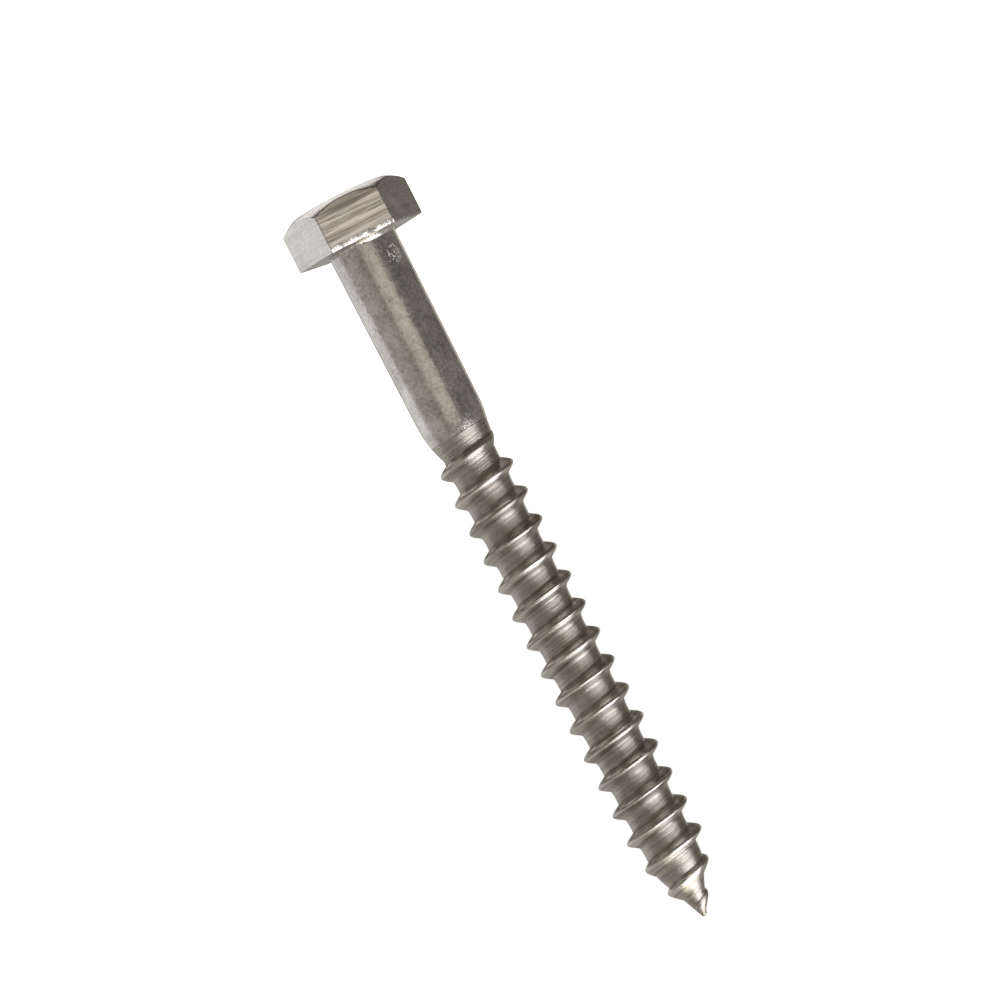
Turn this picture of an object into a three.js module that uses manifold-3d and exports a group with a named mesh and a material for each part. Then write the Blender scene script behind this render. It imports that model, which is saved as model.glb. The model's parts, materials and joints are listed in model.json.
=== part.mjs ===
// Hexagon-head wood screw, also called a coach screw: 10 mm size, partly threaded, right-hand thread, gimlet point.
// It is one piece of stainless steel: the head is cold forged on the wire, and the thread is rolled.
// It stands on the flat top of its head. The origin is the centre of that face, and +Z runs along the screw
// to the point. All lengths are in millimetres, and every height is measured from the top of the head.
import * as THREE from "three";
import { mergeVertices } from "three/addons/utils/BufferGeometryUtils.js";
import Module from "manifold-3d";

// Head: a hexagon with a rounded shoulder round its flat top.
const ACROSS_FLATS = 17;
const CORNER_RADIUS = ACROSS_FLATS / 2 / Math.cos(Math.PI / 6);
const HEAD_HEIGHT = 7.1;
const CROWN_RADIUS = 6.9;
const SHOULDER_DROP = 1.6; // how far below the top the shoulder meets a corner

// Shank: plain, a little thicker next to the head, with a small fillet where it meets the bearing face.
const LENGTH_UNDER_HEAD = 107.5;
const FILLET_RADIUS = 0.75;
const SHANK_RADIUS_AT_HEAD = 5.15;
const SHANK_RADIUS_AT_THREAD = 4.95;
const SHANK_END = HEAD_HEIGHT + 27.2;

// Thread: a ridge on a smaller core, which the shank tapers down to.
const PITCH = 4.5;
const CORE_RADIUS = 3.74;
const CORE_START = HEAD_HEIGHT + 33.3;
const RIDGE_HEIGHT_AT_START = 1.42;
const RIDGE_HEIGHT_AT_END = 1.58;
const CREST_HALF_WIDTH = 0.2;
const FLANK_ANGLE = Math.PI / 6;
const FIRST_FULL_CREST = HEAD_HEIGHT + 35; // the crest over +X where the ridge reaches its full height
const RIDGE_ROOT_DEPTH = 0.35; // how far the ridge's base lies inside the core
const RIDGE_SINK = 0.05; // keeps both ends of the ridge inside the core

// Point: the core narrows to a blunt cone, and a lower ridge follows it nearly to the tip.
const TIP = HEAD_HEIGHT + LENGTH_UNDER_HEAD;
const TIP_RADIUS = 0.28;
const POINT_HALF_ANGLE = (23 * Math.PI) / 180;
const POINT_START = HEAD_HEIGHT + 96;
const POINT_BLEND = 0.5;
const POINT_RIDGE_HEIGHT = 0.85;
const POINT_RIDGE_START = HEAD_HEIGHT + 98;
const RIDGE_FADE_START = HEAD_HEIGHT + 102.3;
const RIDGE_END = HEAD_HEIGHT + 105.8;

// How finely the round shapes are divided.
const HEAD_SIDES = 72;
const SHANK_SIDES = 30;
const SHOULDER_STEPS = 6;
const FILLET_STEPS = 4;
const RUN_IN_STEPS = 6;
const POINT_STEPS = 10;

const wasm = await Module();
wasm.setup();

// A closed three.js geometry as a manifold solid.
function solidOf(geometry) {
  const bare = new THREE.BufferGeometry();
  bare.setAttribute("position", geometry.getAttribute("position"));
  bare.setIndex(geometry.index);
  const merged = mergeVertices(bare, 1e-4);
  return new wasm.Manifold(
    new wasm.Mesh({
      numProp: 3,
      vertProperties: merged.attributes.position.array,
      triVerts: new Uint32Array(merged.index.array),
    }),
  );
}

// A manifold solid as a three.js geometry with flat faces.
function geometryOf(solid) {
  const mesh = solid.getMesh();
  const indexed = new THREE.BufferGeometry();
  indexed.setAttribute("position", new THREE.BufferAttribute(mesh.vertProperties, mesh.numProp));
  indexed.setIndex(new THREE.BufferAttribute(mesh.triVerts, 1));
  const flat = indexed.toNonIndexed();
  flat.computeVertexNormals();
  return flat;
}

// A solid of revolution about +Z from an outline of [radius, height] points that runs up from axis to axis.
function turned(outline, sides) {
  const points = outline.map(([radius, height]) => new THREE.Vector2(radius, height));
  const geometry = new THREE.LatheGeometry(points, sides);
  geometry.rotateX(Math.PI / 2);
  return solidOf(geometry);
}

// The value between a and b at the fraction t, which is held between 0 and 1.
const blend = (a, b, t) => THREE.MathUtils.lerp(a, b, THREE.MathUtils.clamp(t, 0, 1));

// Radius of the core at a height past the plain shank: a run-in from the shank, a straight core,
// and a cone for the point, which meets the core in a soft shoulder.
function coreRadius(height) {
  const runIn = THREE.MathUtils.clamp((height - SHANK_END) / (CORE_START - SHANK_END), 0, 1);
  const straight = blend(SHANK_RADIUS_AT_THREAD, CORE_RADIUS, Math.pow(runIn, 1.6));
  const cone = TIP_RADIUS + (TIP - height) * Math.tan(POINT_HALF_ANGLE);
  const overlap = Math.max(0, POINT_BLEND - Math.abs(straight - cone)) / POINT_BLEND;
  return Math.min(straight, cone) - (overlap * overlap * POINT_BLEND) / 4;
}

// Height of the ridge above the core. It grows over the first turn, drops where the point begins,
// and runs out before the tip.
function ridgeHeight(height) {
  const straight = blend(
    RIDGE_HEIGHT_AT_START,
    RIDGE_HEIGHT_AT_END,
    (height - FIRST_FULL_CREST) / (POINT_START - FIRST_FULL_CREST),
  );
  const dropped = blend(straight, POINT_RIDGE_HEIGHT, (height - POINT_START) / (POINT_RIDGE_START - POINT_START));
  const grown = blend(0, 1, (height - FIRST_FULL_CREST + PITCH) / PITCH);
  const left = blend(1, 0, (height - RIDGE_FADE_START) / (RIDGE_END - RIDGE_FADE_START));
  return dropped * grown * left;
}

// Height of the shoulder at a radius: it leaves the flat top gently and steepens outwards.
function shoulderHeight(radius) {
  return SHOULDER_DROP * Math.pow((radius - CROWN_RADIUS) / (CORNER_RADIUS - CROWN_RADIUS), 1.6);
}

function head() {
  const hexagon = new THREE.Shape();
  for (let corner = 0; corner < 6; corner++) {
    const angle = (corner * Math.PI) / 3;
    const [x, y] = [CORNER_RADIUS * Math.cos(angle), CORNER_RADIUS * Math.sin(angle)];
    corner ? hexagon.lineTo(x, y) : hexagon.moveTo(x, y);
  }
  hexagon.closePath();
  const prism = new THREE.ExtrudeGeometry(hexagon, { depth: HEAD_HEIGHT, bevelEnabled: false });
  const wide = CORNER_RADIUS + 1;
  const outline = [[0, 0]];
  for (let step = 0; step <= SHOULDER_STEPS; step++) {
    const radius = THREE.MathUtils.lerp(CROWN_RADIUS, wide, step / SHOULDER_STEPS);
    outline.push([radius, shoulderHeight(radius)]);
  }
  outline.push([wide, HEAD_HEIGHT + 1], [0, HEAD_HEIGHT + 1]);
  return solidOf(prism).intersect(turned(outline, HEAD_SIDES));
}

function shankAndCore() {
  const outline = [[0, HEAD_HEIGHT - 1], [SHANK_RADIUS_AT_HEAD + FILLET_RADIUS, HEAD_HEIGHT - 1]];
  for (let step = 0; step <= FILLET_STEPS; step++) {
    const angle = ((step / FILLET_STEPS) * Math.PI) / 2;
    outline.push([
      SHANK_RADIUS_AT_HEAD + FILLET_RADIUS * (1 - Math.sin(angle)),
      HEAD_HEIGHT + FILLET_RADIUS * (1 - Math.cos(angle)),
    ]);
  }
  for (let step = 0; step <= RUN_IN_STEPS; step++) {
    const height = THREE.MathUtils.lerp(SHANK_END, CORE_START, step / RUN_IN_STEPS);
    outline.push([coreRadius(height), height]);
  }
  for (let step = 0; step <= POINT_STEPS; step++) {
    const height = THREE.MathUtils.lerp(POINT_START, TIP, step / POINT_STEPS);
    outline.push([coreRadius(height), height]);
  }
  outline.push([0, TIP]);
  return turned(outline, SHANK_SIDES);
}

// The ridge: one section of six points, from the buried base over the crest and back,
// placed at every step of a right-hand helix, with each end closed by a flat cap.
function threadRidge() {
  const start = FIRST_FULL_CREST - PITCH;
  const steps = Math.round(((RIDGE_END - start) / PITCH) * SHANK_SIDES);
  const positions = [];
  for (let step = 0; step <= steps; step++) {
    const angle = (step / SHANK_SIDES) * 2 * Math.PI;
    const height = start + (step / SHANK_SIDES) * PITCH;
    const core = coreRadius(height);
    const crest = core - RIDGE_SINK + ridgeHeight(height);
    const base = core - RIDGE_ROOT_DEPTH;
    const middle = (base + crest) / 2;
    const spread = (radius) => CREST_HALF_WIDTH + (crest - radius) * Math.tan(FLANK_ANGLE);
    const section = [
      [base, -spread(base)],
      [middle, -spread(middle)],
      [crest, -CREST_HALF_WIDTH],
      [crest, CREST_HALF_WIDTH],
      [middle, spread(middle)],
      [base, spread(base)],
    ];
    for (const [radius, offset] of section)
      positions.push(radius * Math.cos(angle), radius * Math.sin(angle), height + offset);
  }
  const count = 6;
  const faces = [];
  for (let step = 0; step < steps; step++)
    for (let k = 0; k < count; k++) {
      const [a, b] = [step * count + k, step * count + ((k + 1) % count)];
      faces.push(a, a + count, b, b, a + count, b + count);
    }
  const last = steps * count;
  for (let k = 1; k < count - 1; k++) faces.push(0, k, k + 1, last, last + k + 1, last + k);
  const geometry = new THREE.BufferGeometry();
  geometry.setAttribute("position", new THREE.Float32BufferAttribute(positions, 3));
  geometry.setIndex(faces);
  return solidOf(geometry);
}

const stainlessSteel = new THREE.MeshStandardMaterial({ color: 0xa39b90, metalness: 1, roughness: 0.34 });

const blank = wasm.Manifold.union([head(), shankAndCore()]);
const screw = new THREE.Mesh(geometryOf(blank.add(threadRidge())), stainlessSteel);
screw.name = "coach_screw";

const object = new THREE.Group();
object.add(screw);

export default object;
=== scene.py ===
import bpy
import json
import math
from mathutils import Matrix, Vector, noise


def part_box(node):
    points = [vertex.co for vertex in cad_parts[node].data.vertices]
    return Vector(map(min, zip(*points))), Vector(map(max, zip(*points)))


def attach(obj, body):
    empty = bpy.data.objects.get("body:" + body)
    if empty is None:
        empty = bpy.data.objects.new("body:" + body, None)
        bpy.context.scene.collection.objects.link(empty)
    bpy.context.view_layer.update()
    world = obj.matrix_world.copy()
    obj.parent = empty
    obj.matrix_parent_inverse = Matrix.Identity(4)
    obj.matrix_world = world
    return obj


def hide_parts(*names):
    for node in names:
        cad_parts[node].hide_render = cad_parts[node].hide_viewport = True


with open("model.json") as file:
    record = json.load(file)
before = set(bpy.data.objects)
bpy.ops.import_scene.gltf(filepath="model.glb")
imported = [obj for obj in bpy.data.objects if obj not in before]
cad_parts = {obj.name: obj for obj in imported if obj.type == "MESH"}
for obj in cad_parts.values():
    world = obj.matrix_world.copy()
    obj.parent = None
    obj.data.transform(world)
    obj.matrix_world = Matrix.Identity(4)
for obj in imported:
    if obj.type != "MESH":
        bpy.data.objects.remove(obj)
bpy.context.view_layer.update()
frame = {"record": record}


# ------------------------------------------------------------------ forged blank: head and shank
# The blank is cut from stainless wire. A die upsets one end into a round, chamfered head, a second die
# trims the head to a hexagon and leaves a ragged edge underneath, and the wire behind it is the shank.

mm = 0.001
low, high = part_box("coach_screw")
mounts = {mount["name"]: mount for mount in frame["record"]["mounts"]}
across_flats = (high.y - low.y) / mm
head_height = mounts["bearing_face"]["pos_m"][2] / mm
tip_height = high.z / mm

corner_radius = (high.x - low.x) / 2 / mm
crown_radius = 6.9
shoulder_drop = 1.6
shoulder_curve = 1.6
corner_sharpness = 150
flat_sharpness = 60
fillet_radius = 0.75
shank_radius_at_head = 5.15
shank_radius_at_thread = 4.95
shank_end = head_height + 27.2
blank_end = head_height + 28.6
core_start = head_height + 33.1
run_in_curve = 1.9
core_radius_full = 3.74
tip_radius = 0.28
point_half_angle = math.radians(23)
point_blend = 0.5

# How high the torn edge under the head stands on each flat, by the direction the flat faces in degrees.
torn_edge = {30: 0.20, 90: 0.55, 150: 0.15, 210: 0.32, 270: 0.80, 330: 0.06}
# How strongly the trimming die has scored each flat across.
scoring = {30: 0.7, 90: 0.5, 150: 0.9, 210: 0.25, 270: 1.0, 330: 0.2}


def clamp01(t):
    return min(1.0, max(0.0, t))


def blend(a, b, t):
    return a + (b - a) * clamp01(t)


def core_radius(height):
    """The shank's run-in, the straight core and the conical point, which meet in soft shoulders."""
    run_in = clamp01((height - shank_end) / (core_start - shank_end))
    straight = blend(shank_radius_at_thread, core_radius_full, run_in ** run_in_curve)
    cone = tip_radius + (tip_height - height) * math.tan(point_half_angle)
    overlap = max(0.0, point_blend - abs(straight - cone)) / point_blend
    return min(straight, cone) - overlap * overlap * point_blend / 4


def facing(angle, sharpness):
    """How squarely a direction faces each flat, as a share of 1 for each."""
    shares = {side: max(0.0, math.cos(angle - math.radians(side))) ** sharpness for side in torn_edge}
    return {side: share for side, share in shares.items() if share > 1e-4 * max(shares.values())}


def hexagon_radius(angle):
    return across_flats / 2 / sum(facing(angle, corner_sharpness).values()) ** (1 / corner_sharpness)


def shoulder_height(radius):
    share = max(0.0, (radius - crown_radius) / (corner_radius - crown_radius))
    return shoulder_drop * share ** shoulder_curve


def blank_outline(angle):
    """Radius and height of each ring of the blank, in mm, in one direction out from the axis."""
    rim = hexagon_radius(angle)
    shoulder = shoulder_height(rim)
    flats = facing(angle, flat_sharpness)
    total = sum(flats.values())
    along = Vector((math.cos(angle), math.sin(angle), 0)) * rim
    rings = [(0, 0), (0.4 * crown_radius, 0), (0.8 * crown_radius, 0)]
    for step in range(10):
        radius = blend(crown_radius, rim - 0.07, step / 9)
        rings.append((radius, shoulder_height(radius)))
    rings.append((rim - 0.02, shoulder + 0.02))
    torn = sum(torn_edge[side] * share for side, share in flats.items()) / total
    torn *= (0.95 + 0.30 * noise.noise(along * 0.7) + 0.08 * noise.noise(along * 2.2))
    torn = max(0.06, torn)
    flat_top, flat_end = shoulder + 0.08, head_height - torn
    for step in range(37):
        height = blend(flat_top, flat_end, step / 36)
        line = 0.0
        for side, share in flats.items():
            across = along.y * math.cos(math.radians(side)) - along.x * math.sin(math.radians(side))
            at = Vector((side * 0.37, across * 0.03, height * 1.35 + across * 0.02))
            line += scoring[side] * share / total * (noise.noise(at) + 0.5 * noise.noise(at * 2.3))
        rings.append((rim - 0.02 + 0.02 * line, height))
    for step in range(1, 9):
        t = step / 8
        rough = 0.02 * torn * noise.noise(along * 2.7 + Vector((0, 0, 9 * t)))
        rings.append((rim - 0.03 - torn * (0.30 * t + 0.16 * t * t) + rough, flat_end + 0.94 * torn * t))
    under = rim - 0.06 - 0.52 * torn
    foot = shank_radius_at_head + fillet_radius
    for step in (0.1, 0.35, 0.7, 1.0):
        rings.append((blend(under, foot, step), head_height))
    for step in range(1, 9):
        turn = step / 8 * math.pi / 2
        rings.append((foot - fillet_radius * math.sin(turn),
                      head_height + fillet_radius * (1 - math.cos(turn))))
    first = head_height + fillet_radius
    for step in range(1, 25):
        height = blend(first, blank_end, step / 24)
        if height < shank_end:
            taper = (height - first) / (shank_end - first)
            radius = blend(shank_radius_at_head, shank_radius_at_thread, taper)
        else:
            radius = core_radius(height)
        rings.append((radius, height))
    return rings


columns_per_flat = 32
columns = 6 * columns_per_flat
ring_count = len(blank_outline(0.0))
bpy.ops.object.select_all(action="DESELECT")
bpy.ops.mesh.primitive_grid_add(x_subdivisions=columns, y_subdivisions=ring_count - 1, size=1)
blank = bpy.context.object
blank.name = "coach_screw_steel"
# The grid is rolled round the axis, its columns closer together at the corners of the hexagon.
outlines = []
for column in range(columns + 1):
    sector, place = divmod(column, columns_per_flat)
    swing = 30 * math.sin((2 * place / columns_per_flat - 1) * math.pi / 2)
    angle = math.radians(60 * sector + 30 + swing)
    outlines.append((angle, blank_outline(angle)))
scored = blank.data.attributes.new("scored", "FLOAT", "POINT")
for vertex in blank.data.vertices:
    column = round((vertex.co.x + 0.5) * columns)
    ring = round((vertex.co.y + 0.5) * (ring_count - 1))
    angle, outline = outlines[column]
    radius, height = outline[ring]
    vertex.co = Vector((radius * math.cos(angle), radius * math.sin(angle), height)) * mm
    flats = facing(angle, flat_sharpness)
    total = sum(flats.values())
    scored.data[vertex.index].value = sum(scoring[side] * share for side, share in flats.items()) / total
bpy.ops.object.mode_set(mode="EDIT")
bpy.ops.mesh.select_all(action="SELECT")
bpy.ops.mesh.remove_doubles(threshold=0.002 * mm)
bpy.ops.object.mode_set(mode="OBJECT")


# ------------------------------------------------------------------ rolled thread and point
# Two flat dies roll the wire between them and squeeze the ridge up out of it, so the ridge has a rounded
# crest with a lap line where the metal met, and the point is rolled in the same stroke.

pitch = 4.5
first_full_crest = head_height + 35.0
point_start = head_height + 96.0
point_ridge_start = head_height + 98.0
ridge_fade_start = head_height + 103.0
ridge_end = head_height + 106.9
growth_length = 3.6
ridge_at_start = 1.42
ridge_at_end = 1.58
ridge_on_point = 0.92
half_base = 0.67
young_half_base = 0.30
thread_steps = 96


def growth(height):
    """How far the ridge has grown: 0 where it leaves the shank, 1 at its first full crest."""
    return clamp01((height - first_full_crest + growth_length) / growth_length)


def ridge_height(height):
    along = (height - first_full_crest) / (point_start - first_full_crest)
    straight = blend(ridge_at_start, ridge_at_end, along)
    dropped = blend(straight, ridge_on_point, (height - point_start) / (point_ridge_start - point_start))
    left = 1 - clamp01((height - ridge_fade_start) / (ridge_end - ridge_fade_start))
    return dropped * growth(height) * left


def ridge_shape(offset, base):
    """Part of the ridge's height at an offset along the screw from its crest: round crest, hollow foot."""
    rounding = 0.60
    foot = blend(0.22, 0.06, (base - half_base) / 0.25) if offset > 0 else 0.06
    slope = (math.hypot(offset, rounding) - rounding) / base
    part = 1 - slope
    return 0.5 * (part + math.sqrt(part * part + foot * foot)) / (0.5 * (1 + math.sqrt(1 + foot * foot)))


def thread_place(angle, height):
    """Offset along the screw from the nearest crest, and that crest's height."""
    turn = angle / (2 * math.pi)
    offset = pitch * (((height - first_full_crest) / pitch - turn + 0.5) % 1.0 - 0.5)
    return offset, height - offset


def flank_base(offset, crest_height):
    """Half the ridge's width at its foot; near the point the head side steepens and the tip side spreads."""
    late = (crest_height - point_start) / 3.5
    if offset > 0:
        return blend(half_base, 1.05, late)
    return blend(blend(young_half_base, half_base, growth(crest_height)), 0.36, late)


def lap_line(angle, offset, crest_height):
    """The seam where the metal of the two flanks met, on the head side of the crest; it comes and goes."""
    seam = grown_part(crest_height) * math.exp(-((offset + 0.13) / 0.055) ** 2)
    here = Vector((math.cos(angle), math.sin(angle), crest_height * 0.3))
    return seam * clamp01(0.45 + 1.1 * noise.noise(here))


def thread_radius(angle, height):
    offset, crest_height = thread_place(angle, height)
    here = Vector((math.cos(angle), math.sin(angle), crest_height * 0.45))
    wobble = 0.03 * noise.noise(here * 1.3)
    shape = ridge_shape(offset, flank_base(offset, crest_height))
    ridge = (ridge_height(crest_height) + wobble * grown_part(crest_height)) * shape
    swell = 0.0
    if height < point_start:
        swell = 0.08 * grown_part(crest_height) * clamp01(1 - abs(offset - 0.95) / 1.15)
    ledge = 0.0
    if offset < 0:
        # The shank's run-in reaches up to the young ridge on its head side.
        ledge = 0.6 * ridge_height(crest_height) * (1 - growth(crest_height)) * (1 - shape)
        ledge *= clamp01((offset + 2.2) / 1.3)
    return core_radius(height) + ridge + swell + ledge - 0.06 * lap_line(angle, offset, crest_height)


def grown_part(height):
    return clamp01((height - first_full_crest + pitch) / pitch) * clamp01((ridge_end - height) / 3)


rows = 32
profile = []
for row in range(rows + 1):
    t = 2 * row / rows - 1
    profile.append((0.004, 0, (blank_end + pitch / 2 * (0.45 * t + 0.55 * t ** 3)) * mm))
line = bpy.data.meshes.new("thread_profile")
line.from_pydata(profile, [(row, row + 1) for row in range(rows)], [])
thread = bpy.data.objects.new("thread", line)
bpy.context.collection.objects.link(thread)
# The middle of the profile has to lie on the crest over +X, a whole number of turns before the first one.
turns_before = math.ceil((first_full_crest - blank_end) / pitch) + 1
start = first_full_crest - turns_before * pitch - blank_end
for vertex in line.vertices:
    vertex.co.z += start * mm
bpy.ops.object.select_all(action="DESELECT")
bpy.context.view_layer.objects.active = thread
thread.select_set(True)
sweep = thread.modifiers.new("thread", "SCREW")
sweep.axis = "Z"
sweep.angle = 2 * math.pi
sweep.screw_offset = pitch * mm
sweep.iterations = math.ceil((tip_height - blank_end) / pitch) + 3
sweep.steps = sweep.render_steps = thread_steps
bpy.ops.object.modifier_apply(modifier="thread")
bpy.ops.object.mode_set(mode="EDIT")
bpy.ops.mesh.select_all(action="SELECT")
bpy.ops.mesh.remove_doubles(threshold=0.003 * mm)
bpy.ops.mesh.select_all(action="SELECT")
bpy.ops.mesh.bisect(plane_co=(0, 0, blank_end * mm), plane_no=(0, 0, 1), clear_inner=True,
                    threshold=1e-7)
bpy.ops.mesh.select_all(action="SELECT")
bpy.ops.mesh.bisect(plane_co=(0, 0, (tip_height - 0.3) * mm), plane_no=(0, 0, 1),
                    clear_outer=True, use_fill=True, threshold=1e-7)
bpy.ops.object.mode_set(mode="OBJECT")
crest = thread.data.attributes.new("crest", "FLOAT", "POINT")
lap = thread.data.attributes.new("lap", "FLOAT", "POINT")
for vertex in thread.data.vertices:
    angle = math.atan2(vertex.co.y, vertex.co.x)
    offset, crest_height = thread_place(angle, vertex.co.z / mm)
    shape = ridge_shape(offset, flank_base(offset, crest_height))
    crest.data[vertex.index].value = shape * grown_part(crest_height)
    lap.data[vertex.index].value = lap_line(angle, offset, crest_height)
    radius = thread_radius(angle, vertex.co.z / mm) * mm
    vertex.co.x, vertex.co.y = radius * math.cos(angle), radius * math.sin(angle)

# The blunt tip: the end face left by the cut is pushed out three times, smaller each time.
bpy.ops.object.mode_set(mode="EDIT")
bpy.ops.mesh.select_mode(type="FACE")
for rise, shrink in ((0.18, 0.74), (0.09, 0.60), (0.03, 0.35)):
    bpy.ops.mesh.extrude_region_move(TRANSFORM_OT_translate={"value": (0, 0, rise * mm)})
    bpy.ops.transform.resize(value=(shrink, shrink, 1), center_override=(0, 0, tip_height * mm))
bpy.ops.object.mode_set(mode="OBJECT")

# Blank and thread become one piece: the two open rings face each other and are bridged.
for vertex in thread.data.vertices:
    if abs(vertex.co.z - blank_end * mm) < 0.001 * mm:
        vertex.co.z += 0.02 * mm
bpy.ops.object.select_all(action="DESELECT")
thread.select_set(True)
blank.select_set(True)
bpy.context.view_layer.objects.active = blank
bpy.ops.object.join()
screw = bpy.context.object
bpy.ops.object.mode_set(mode="EDIT")
bpy.ops.mesh.select_mode(type="EDGE")
bpy.ops.mesh.select_all(action="DESELECT")
bpy.ops.mesh.select_non_manifold()
bpy.ops.mesh.bridge_edge_loops()
bpy.ops.mesh.select_all(action="SELECT")
bpy.ops.mesh.normals_make_consistent(inside=False)
bpy.ops.object.mode_set(mode="OBJECT")
bpy.ops.object.shade_smooth_by_angle(angle=math.radians(34))


# ------------------------------------------------------------------ stainless steel
# One stainless steel in three finishes: the satin skin left by forging and wire drawing, the flats sheared
# and scored by the trimming die, and the thread burnished on its crests and dull in its roots by rolling,
# with the crests painted lighter as a highlight and the roots painted darker as shade.
# The rolling starts at a line round the run-in that leans a little.

rolled_from = head_height + 30.5
rolled_lean = 0.06
flats_radius = 7.5


def add(tree, kind, column, row, **settings):
    node = tree.nodes.new(kind)
    node.location = (220 * column, -190 * row)
    for name, value in settings.items():
        setattr(node, name, value)
    return node


def feed(tree, socket, value):
    if isinstance(value, bpy.types.NodeSocket):
        tree.links.new(value, socket)
    else:
        socket.default_value = value


def compute(tree, column, row, operation, first, second=0.0, third=None):
    node = add(tree, "ShaderNodeMath", column, row, operation=operation)
    feed(tree, node.inputs[0], first)
    feed(tree, node.inputs[1], second)
    if third is not None:
        feed(tree, node.inputs[2], third)
    return node.outputs[0]


def remap(tree, column, row, value, from_min, from_max, to_min, to_max):
    node = add(tree, "ShaderNodeMapRange", column, row)
    for socket, number in zip(node.inputs, (value, from_min, from_max, to_min, to_max)):
        feed(tree, socket, number)
    return node.outputs["Result"]


def tint(tree, column, row, share, first, second):
    node = add(tree, "ShaderNodeMix", column, row, data_type="RGBA")
    feed(tree, node.inputs[0], share)
    feed(tree, node.inputs[6], first)
    feed(tree, node.inputs[7], second)
    return node.outputs[2]


def pattern(tree, column, row, vector, scale, detail=3.0, roughness=0.5):
    node = add(tree, "ShaderNodeTexNoise", column, row)
    feed(tree, node.inputs["Vector"], vector)
    node.inputs["Scale"].default_value = scale
    node.inputs["Detail"].default_value = detail
    node.inputs["Roughness"].default_value = roughness
    return node.outputs["Fac"]


def millimetres(tree, row):
    """The object's own coordinates, in millimetres."""
    where = add(tree, "ShaderNodeTexCoord", -6, row)
    scaled = add(tree, "ShaderNodeVectorMath", -5, row, operation="SCALE")
    feed(tree, scaled.inputs[0], where.outputs["Object"])
    scaled.inputs["Scale"].default_value = 1000
    return scaled.outputs["Vector"]


def new_group(name, inputs, outputs):
    tree = bpy.data.node_groups.new(name, "ShaderNodeTree")
    for label, kind, value in inputs:
        socket = tree.interface.new_socket(name=label, in_out="INPUT", socket_type=kind)
        socket.default_value = value
    for label, kind in outputs:
        tree.interface.new_socket(name=label, in_out="OUTPUT", socket_type=kind)
    return tree, add(tree, "NodeGroupInput", -7, 0), add(tree, "NodeGroupOutput", 6, 0)


def use_group(tree, group, column, row, **values):
    node = add(tree, "ShaderNodeGroup", column, row, node_tree=group)
    for label, value in values.items():
        feed(tree, node.inputs[label.replace("_", " ")], value)
    return node.outputs


# Streaks: noise drawn out along or around the screw, for drawing lines and shear marks.
streaks, given, result = new_group(
    "streaks", [("Around", "NodeSocketFloat", 1.0), ("Along", "NodeSocketFloat", 1.0)],
    [("Streaks", "NodeSocketFloat")])
stretch = add(streaks, "ShaderNodeCombineXYZ", -5, 1)
feed(streaks, stretch.inputs[0], given.outputs["Around"])
feed(streaks, stretch.inputs[1], given.outputs["Around"])
feed(streaks, stretch.inputs[2], given.outputs["Along"])
drawn_out = add(streaks, "ShaderNodeVectorMath", -4, 0, operation="MULTIPLY")
feed(streaks, drawn_out.inputs[0], millimetres(streaks, 0))
feed(streaks, drawn_out.inputs[1], stretch.outputs[0])
feed(streaks, result.inputs["Streaks"], pattern(streaks, -3, 0, drawn_out.outputs["Vector"], 1.0, 5.0, 0.6))

# Pits and nicks: sparse small dents left by handling, each a dark spot with a sharp rim.
pits, given, result = new_group(
    "pits", [("Amount", "NodeSocketFloat", 0.5)], [("Pits", "NodeSocketFloat")])
place = millimetres(pits, 0)
cells = add(pits, "ShaderNodeTexVoronoi", -4, 0)
feed(pits, cells.inputs["Vector"], place)
cells.inputs["Scale"].default_value = 1.1
spot = remap(pits, -3, 0, cells.outputs["Distance"], 0.10, 0.22, 1.0, 0.0)
gathered = pattern(pits, -4, 2, place, 0.22, 1.0)
crowded = compute(pits, -3, 2, "ADD", gathered, given.outputs["Amount"])
chosen = compute(pits, -2, 2, "GREATER_THAN", crowded, 1.0)
feed(pits, result.inputs["Pits"], compute(pits, -1, 0, "MULTIPLY", spot, chosen))

# Satin skin: the mottled, slightly grainy surface of pickled stainless wire.
skin, given, result = new_group(
    "satin_skin",
    [("Dark", "NodeSocketColor", (0.45, 0.42, 0.385, 1)),
     ("Light", "NodeSocketColor", (0.75, 0.71, 0.665, 1))],
    [("Color", "NodeSocketColor"), ("Roughness", "NodeSocketFloat"), ("Height", "NodeSocketFloat")])
place = millimetres(skin, 0)
grain = pattern(skin, -4, 0, place, 1.9, 4.0, 0.62)
cloud = pattern(skin, -4, 1, place, 0.33, 3.0, 0.55)
speckle = pattern(skin, -4, 2, place, 4.5, 2.0, 0.5)
drawing = use_group(skin, streaks, -4, 3, Around=1.7, Along=0.05)["Streaks"]
worn = use_group(skin, pits, -4, 4, Amount=0.43)["Pits"]
mixed = compute(skin, -3, 0, "MULTIPLY_ADD", grain, 0.40, compute(skin, -3, 1, "MULTIPLY", cloud, 0.35))
mixed = compute(skin, -3, 2, "MULTIPLY_ADD", speckle, 0.25, mixed)
shade = remap(skin, -2, 0, mixed, 0.42, 0.58, 0.0, 1.0)
pitted = compute(skin, -2, 1, "SUBTRACT", shade, worn)
pitted = compute(skin, -1, 1, "MAXIMUM", pitted, 0.0)
feed(skin, result.inputs["Color"], tint(skin, 0, 0, pitted, given.outputs["Dark"], given.outputs["Light"]))
feed(skin, result.inputs["Roughness"], remap(skin, 0, 1, mixed, 0.35, 0.65, 0.14, 0.30))
relief = compute(skin, -2, 2, "MULTIPLY_ADD", speckle, 0.35, grain)
relief = compute(skin, -1, 2, "MULTIPLY_ADD", drawing, 0.55, relief)
feed(skin, result.inputs["Height"], compute(skin, 0, 2, "MULTIPLY_ADD", worn, -0.9, relief))


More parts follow.
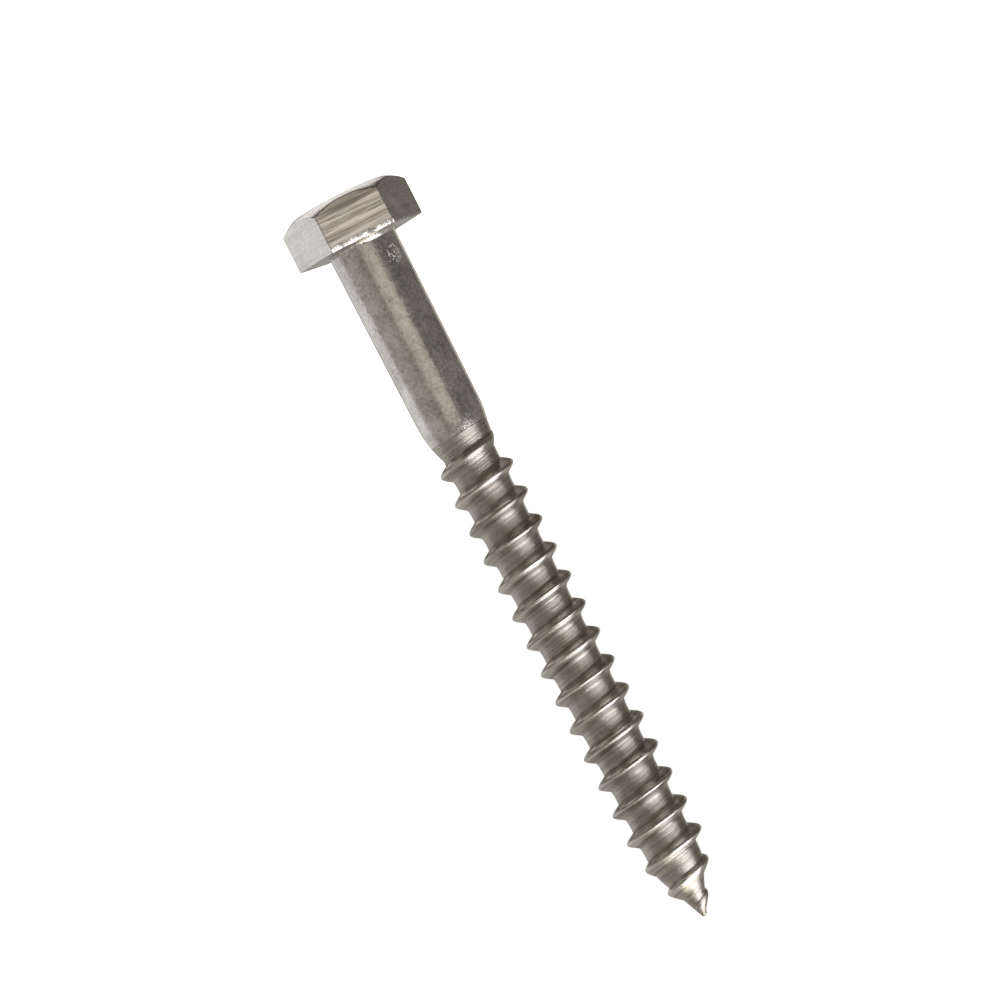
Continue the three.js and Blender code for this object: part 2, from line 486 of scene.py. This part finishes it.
def new_material(name):
    material = bpy.data.materials.new(name)
    material.use_nodes = True
    tree = material.node_tree
    shader = tree.nodes["Principled BSDF"]
    shader.location = (900, 0)
    tree.nodes["Material Output"].location = (1250, 0)
    shader.inputs["Metallic"].default_value = 1.0
    return material, tree, shader


def dent(tree, column, row, height, depth):
    node = add(tree, "ShaderNodeBump", column, row)
    node.inputs["Strength"].default_value = 1.0
    node.inputs["Distance"].default_value = depth * mm
    feed(tree, node.inputs["Height"], height)
    return node.outputs["Normal"]


# Forged and drawn: the crown, the underside of the head and the plain shank.
forged, tree, shader = new_material("forged_stainless_steel")
look = use_group(tree, skin, 0, 0)
# A patch of bright scuffs high on the shank, where something hard has knocked it.
place = millimetres(tree, 2)
away = add(tree, "ShaderNodeVectorMath", -3, 3, operation="DISTANCE")
feed(tree, away.inputs[0], place)
away.inputs[1].default_value = (-3.3, -3.95, head_height + 3.6)
knocks = remap(tree, -2, 2, pattern(tree, -3, 2, place, 2.3, 2.0, 0.5), 0.53, 0.59, 0.0, 1.0)
patch = remap(tree, -2, 3, away.outputs["Value"], 0.9, 2.0, 1.0, 0.0)
scuffs = compute(tree, -1, 2, "MULTIPLY", knocks, patch)
feed(tree, shader.inputs["Base Color"], tint(tree, 1, 0, scuffs, look["Color"], (0.90, 0.87, 0.80, 1)))
feed(tree, shader.inputs["Roughness"], compute(tree, 1, 1, "MULTIPLY_ADD", scuffs, 0.25, look["Roughness"]))
height = compute(tree, 1, 2, "MULTIPLY_ADD", scuffs, 1.2, look["Height"])
feed(tree, shader.inputs["Normal"], dent(tree, 2, 2, height, 0.024))

# Trimmed: the six flats, with shear marks running round the head, deepest on the most scored flats.
trimmed, tree, shader = new_material("trimmed_stainless_steel")
look = use_group(tree, skin, 0, 0, Dark=(0.58, 0.55, 0.515, 1), Light=(0.80, 0.77, 0.735, 1))
broad = use_group(tree, streaks, -2, 2, Around=0.04, Along=0.80)["Streaks"]
fine = use_group(tree, streaks, -2, 3, Around=0.16, Along=4.2)["Streaks"]
scored = add(tree, "ShaderNodeAttribute", -2, 4, attribute_name="scored").outputs["Fac"]
lines = compute(tree, -1, 2, "MULTIPLY_ADD", broad, 0.55, compute(tree, -1, 3, "MULTIPLY", fine, 0.45))
bands = remap(tree, 0, 2, lines, 0.41, 0.56, 0.0, 1.0)
marked = compute(tree, 1, 2, "MULTIPLY", compute(tree, 0, 3, "SUBTRACT", 1.0, bands), scored)
bright = compute(tree, 1, 4, "MULTIPLY", bands, compute(tree, 0, 5, "MULTIPLY", scored, 0.75))
dull = tint(tree, 2, 0, marked, tint(tree, 1, 0, bright, look["Color"], (0.98, 0.93, 0.86, 1)),
            (0.34, 0.295, 0.255, 1))
feed(tree, shader.inputs["Base Color"], dull)
feed(tree, shader.inputs["Roughness"], compute(tree, 2, 1, "MULTIPLY_ADD", marked, 0.12, look["Roughness"]))
depth = compute(tree, 2, 3, "MULTIPLY", compute(tree, 1, 3, "MULTIPLY", lines, 2.2), scored)
feed(tree, shader.inputs["Normal"],
     dent(tree, 4, 2, compute(tree, 3, 2, "MULTIPLY_ADD", look["Height"], 0.45, depth), 0.012))

# Rolled: burnished crests painted lighter as a highlight, dull roots painted dark brown as shade, a lap line
# painted dark as shade in its seam, and fine lines that run with the helix.
rolled, tree, shader = new_material("rolled_stainless_steel")
look = use_group(tree, skin, -1, 0)
place = millimetres(tree, 3)
split = add(tree, "ShaderNodeSeparateXYZ", -4, 3)
feed(tree, split.inputs[0], place)
turned = compute(tree, -3, 3, "ARCTAN2", split.outputs["Y"], split.outputs["X"])
phase = compute(tree, -2, 3, "MULTIPLY_ADD", split.outputs["Z"], 2 * math.pi / pitch,
                compute(tree, -3, 4, "MULTIPLY", turned, -1.0))
helix = add(tree, "ShaderNodeCombineXYZ", -1, 3)
feed(tree, helix.inputs[0], compute(tree, -2, 4, "MULTIPLY", compute(tree, -3, 5, "COSINE", phase), 1.7))
feed(tree, helix.inputs[1], compute(tree, -2, 5, "MULTIPLY", compute(tree, -3, 6, "SINE", phase), 1.7))
feed(tree, helix.inputs[2], compute(tree, -2, 6, "MULTIPLY", split.outputs["Z"], 0.11))
lines = pattern(tree, 0, 3, helix.outputs[0], 1.3, 4.0, 0.65)
crest = add(tree, "ShaderNodeAttribute", -1, 5, attribute_name="crest").outputs["Fac"]
lap = add(tree, "ShaderNodeAttribute", -1, 6, attribute_name="lap").outputs["Fac"]
leaning = compute(tree, -1, 4, "MULTIPLY_ADD", split.outputs["X"], -rolled_lean, split.outputs["Z"])
begun = remap(tree, 0, 4, leaning, rolled_from - 0.05, rolled_from + 0.05, 0.0, 1.0)
# The crest mask makes the crests smoother, paints them lighter as a highlight and paints the roots dark
# brown as shade.
burnish_and_painted_light = remap(tree, 0, 5, crest, 0.05, 0.85, 0.0, 1.0)
worked_and_painted_light = tint(tree, 1, 0, burnish_and_painted_light, (0.47, 0.43, 0.375, 1), (0.88, 0.84, 0.77, 1))
worked_and_painted_light = tint(tree, 2, 0, remap(tree, 1, 1, lines, 0.40, 0.58, 0.95, 0.0), worked_and_painted_light, (0.25, 0.215, 0.175, 1))
# The lap line is painted near black, as shade in its seam.
worked_and_painted_light = tint(tree, 3, 0, compute(tree, 2, 1, "MULTIPLY", lap, 0.75), worked_and_painted_light, (0.10, 0.085, 0.07, 1))
feed(tree, shader.inputs["Base Color"], tint(tree, 4, 0, begun, look["Color"],
                                             tint(tree, 4, 1, 0.3, worked_and_painted_light, look["Color"])))
satin = remap(tree, 1, 2, burnish_and_painted_light, 0.0, 1.0, 0.33, 0.23)
satin = compute(tree, 2, 2, "MULTIPLY_ADD", lines, 0.08, satin)
smooth = add(tree, "ShaderNodeMix", 3, 2)
feed(tree, smooth.inputs[0], begun)
feed(tree, smooth.inputs[2], look["Roughness"])
feed(tree, smooth.inputs[3], satin)
feed(tree, shader.inputs["Roughness"], smooth.outputs[0])
# The dies leave fine scratches round the screw, which smear a highlight along it.
shader.inputs["Anisotropic"].default_value = 0.80
shader.inputs["Anisotropic Rotation"].default_value = 0.25
round_screw = add(tree, "ShaderNodeTangent", 4, 5, direction_type="RADIAL", axis="Z")
feed(tree, shader.inputs["Tangent"], round_screw.outputs[0])
relief = compute(tree, 1, 3, "MULTIPLY", compute(tree, 1, 4, "MULTIPLY", lines, 11.0), begun)
relief = compute(tree, 2, 3, "MULTIPLY_ADD", look["Height"], 1.0, relief)
relief = compute(tree, 3, 3, "MULTIPLY_ADD", begun, -1.2, relief)
feed(tree, shader.inputs["Normal"], dent(tree, 4, 2, relief, 0.012))

screw.data.materials.clear()
for material in (forged, trimmed, rolled):
    screw.data.materials.append(material)
for face in screw.data.polygons:
    centre = face.center / mm
    if centre.z - rolled_lean * centre.x > rolled_from - 0.1:
        face.material_index = 2
    elif math.hypot(centre.x, centre.y) > flats_radius and abs(face.normal.z) < 0.25:
        face.material_index = 1
    else:
        face.material_index = 0

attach(screw, "root")
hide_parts("coach_screw")


# ------------------------------------------------------------------ floor
# A plain white table a hair below the head. It glows evenly, so it stays white and the room's light shapes
# the steel, and from underneath it is clear, so that the top of the head can be seen.
bpy.ops.object.select_all(action="DESELECT")
bpy.ops.mesh.primitive_plane_add(size=6, location=(0, 0, -0.2 * mm))
floor = bpy.context.object
floor.name = "floor"
floor.visible_glossy = False
floor.visible_shadow = False
pale = bpy.data.materials.new("white_table")
pale.use_nodes = True
tree = pale.node_tree
table = tree.nodes["Principled BSDF"]
table.inputs["Base Color"].default_value = (0.9, 0.9, 0.9, 1)
table.inputs["Roughness"].default_value = 0.9
table.inputs["Emission Color"].default_value = (1, 1, 1, 1)
table.inputs["Emission Strength"].default_value = 0.9
side = add(tree, "ShaderNodeNewGeometry", 0, 1)
clear = add(tree, "ShaderNodeBsdfTransparent", 0, 2)
either = add(tree, "ShaderNodeMixShader", 2, 0)
feed(tree, either.inputs["Fac"], side.outputs["Backfacing"])
feed(tree, either.inputs[1], table.outputs["BSDF"])
feed(tree, either.inputs[2], clear.outputs["BSDF"])
feed(tree, tree.nodes["Material Output"].inputs["Surface"], either.outputs["Shader"])
floor.data.materials.append(pale)


# ------------------------------------------------------------------ studio
# A small tent of white cloth round the screw, bright on one side and dim on the other, with a dull ceiling
# and a dark bench. Four softboxes hang round it, and the camera sees only plain white behind the screw.
world = bpy.data.worlds.new("studio")
bpy.context.scene.world = world
world.use_nodes = True
nodes, links = world.node_tree.nodes, world.node_tree.links


def new_node(kind, **settings):
    node = nodes.new(kind)
    for name, value in settings.items():
        setattr(node, name, value)
    return node


where = new_node("ShaderNodeTexCoord")
about = new_node("ShaderNodeVectorMath", operation="MULTIPLY")
about.inputs[1].default_value = (-1, -1, 1)
split = new_node("ShaderNodeSeparateXYZ")
around = new_node("ShaderNodeMath", operation="ARCTAN2")
share = new_node("ShaderNodeMapRange")
share.inputs["From Min"].default_value = -math.pi
share.inputs["From Max"].default_value = math.pi
rise = new_node("ShaderNodeMapRange")
rise.inputs["From Min"].default_value = -1
links.new(where.outputs["Generated"], about.inputs[0])
links.new(about.outputs["Vector"], split.inputs["Vector"])
links.new(split.outputs["X"], around.inputs[0])
links.new(split.outputs["Y"], around.inputs[1])
links.new(around.outputs[0], share.inputs["Value"])
links.new(split.outputs["Z"], rise.inputs["Value"])


def ramp_of(stops, source):
    ramp = new_node("ShaderNodeValToRGB")
    elements = ramp.color_ramp.elements
    while len(elements) < len(stops):
        elements.new(1.0)
    for element, (place, colour) in zip(elements, stops):
        element.position = place
    for element, (place, colour) in zip(elements, stops):
        element.color = (*colour, 1)
    links.new(source, ramp.inputs["Fac"])
    return ramp.outputs["Color"]


# Brightness of the walls by direction, in degrees from the camera's side towards -X.
walls = [
    (-180, (0.45, 0.44, 0.42)), (-158, (0.55, 0.54, 0.52)), (-148, (0.87, 0.88, 0.90)),
    (-111, (0.90, 0.905, 0.92)), (-99, (0.82, 0.82, 0.83)), (-92, (0.44, 0.42, 0.39)),
    (-55, (0.45, 0.425, 0.39)), (-38, (0.36, 0.335, 0.31)), (-27, (0.29, 0.27, 0.245)),
    (-17, (0.60, 0.56, 0.51)), (8, (0.72, 0.665, 0.60)), (21, (0.66, 0.61, 0.56)),
    (31, (0.20, 0.195, 0.18)), (70, (0.19, 0.185, 0.17)), (110, (0.22, 0.21, 0.195)),
    (126, (0.17, 0.16, 0.145)), (136, (0.16, 0.155, 0.14)), (143, (0.78, 0.76, 0.66)),
    (153, (0.66, 0.64, 0.56)), (163, (0.16, 0.15, 0.13)), (180, (0.45, 0.44, 0.42)),
]
# Brightness of the bench, at -1 straight down, and of the ceiling, at 1 straight up.
caps = [(-1.0, (0.10, 0.085, 0.065)), (-0.1, (0.12, 0.105, 0.085)), (0.1, (0.28, 0.265, 0.24)),
        (0.5, (0.40, 0.39, 0.365)), (1.0, (0.50, 0.48, 0.45))]
# How far the bench and the ceiling take over from the walls, from straight down to straight up.
cover = [(-1.0, 1.0), (-0.35, 1.0), (-0.13, 0.0), (0.10, 0.0), (0.3, 0.65), (0.6, 1.0), (1.0, 1.0)]
sides = ramp_of([((degrees + 180) / 360, colour) for degrees, colour in walls], share.outputs["Result"])
ends = ramp_of([((z + 1) / 2, colour) for z, colour in caps], rise.outputs["Result"])
covered = ramp_of([((z + 1) / 2, (value,) * 3) for z, value in cover], rise.outputs["Result"])
shell = new_node("ShaderNodeMix", data_type="RGBA")
links.new(covered, shell.inputs[0])
links.new(sides, shell.inputs[6])
links.new(ends, shell.inputs[7])
links.new(shell.outputs[2], nodes["Background"].inputs["Color"])
plain = new_node("ShaderNodeBackground")
plain.inputs["Color"].default_value = (1, 1, 1, 1)
seen = new_node("ShaderNodeLightPath")
mix = new_node("ShaderNodeMixShader")
links.new(seen.outputs["Is Camera Ray"], mix.inputs["Fac"])
links.new(nodes["Background"].outputs["Background"], mix.inputs[1])
links.new(plain.outputs["Background"], mix.inputs[2])
links.new(mix.outputs["Shader"], nodes["World Output"].inputs["Surface"])


def softbox(name, place, width, length, brightness, colour):
    """A rectangular lamp of even brightness, turned towards the middle of the screw."""
    data = bpy.data.lights.new(name, "AREA")
    data.shape = "RECTANGLE"
    data.size, data.size_y = width, length
    data.energy = brightness * math.pi * width * length
    data.color = colour
    lamp = bpy.data.objects.new(name, data)
    lamp.location = place
    towards = Vector((0, 0, 0.06)) - Vector(place)
    lamp.rotation_euler = towards.to_track_quat("-Z", "Y").to_euler()
    bpy.context.collection.objects.link(lamp)


softbox("overhead", (-0.07, 0.14, 0.575), 0.17, 0.52, 3.2, (1.0, 0.955, 0.83))
softbox("high_front", (-0.257, -0.239, 0.45), 0.47, 0.50, 3.9, (0.93, 0.96, 1.0))
softbox("low_side", (0.42, -0.12, -0.40), 0.40, 0.40, 0.55, (1.0, 0.97, 0.93))
softbox("under_bench", (0.05, 0.36, -0.32), 0.42, 0.30, 1.15, (0.98, 0.975, 1.0))


# ------------------------------------------------------------------ camera
# A long lens, square to one flat of the head but for a few degrees, and rolled so that the screw lies at a
# slant with its point down to the right. It aims a little nearer the head than the screw's middle.
turn = math.radians(4.4)
tilt = math.radians(0.66)
roll = math.radians(152.95)
distance = 0.70
aim = Vector((-0.00093, 0, 0.04865))
aim.rotate(Matrix.Rotation(turn, 3, "Z"))
pose = Matrix.Rotation(turn, 3, "Z") @ Matrix.Rotation(math.pi / 2 - tilt, 3, "X")
pose = pose @ Matrix.Rotation(roll, 3, "Z")
camera_data = bpy.data.cameras.new("camera")
camera_data.lens = 177.0
camera_data.sensor_width = 36
camera = bpy.data.objects.new("camera", camera_data)
camera.rotation_euler = pose.to_euler()
camera.location = aim + pose @ Vector((0, 0, distance))
bpy.context.collection.objects.link(camera)
bpy.context.scene.camera = camera
bpy.context.scene.view_settings.view_transform = "Standard"
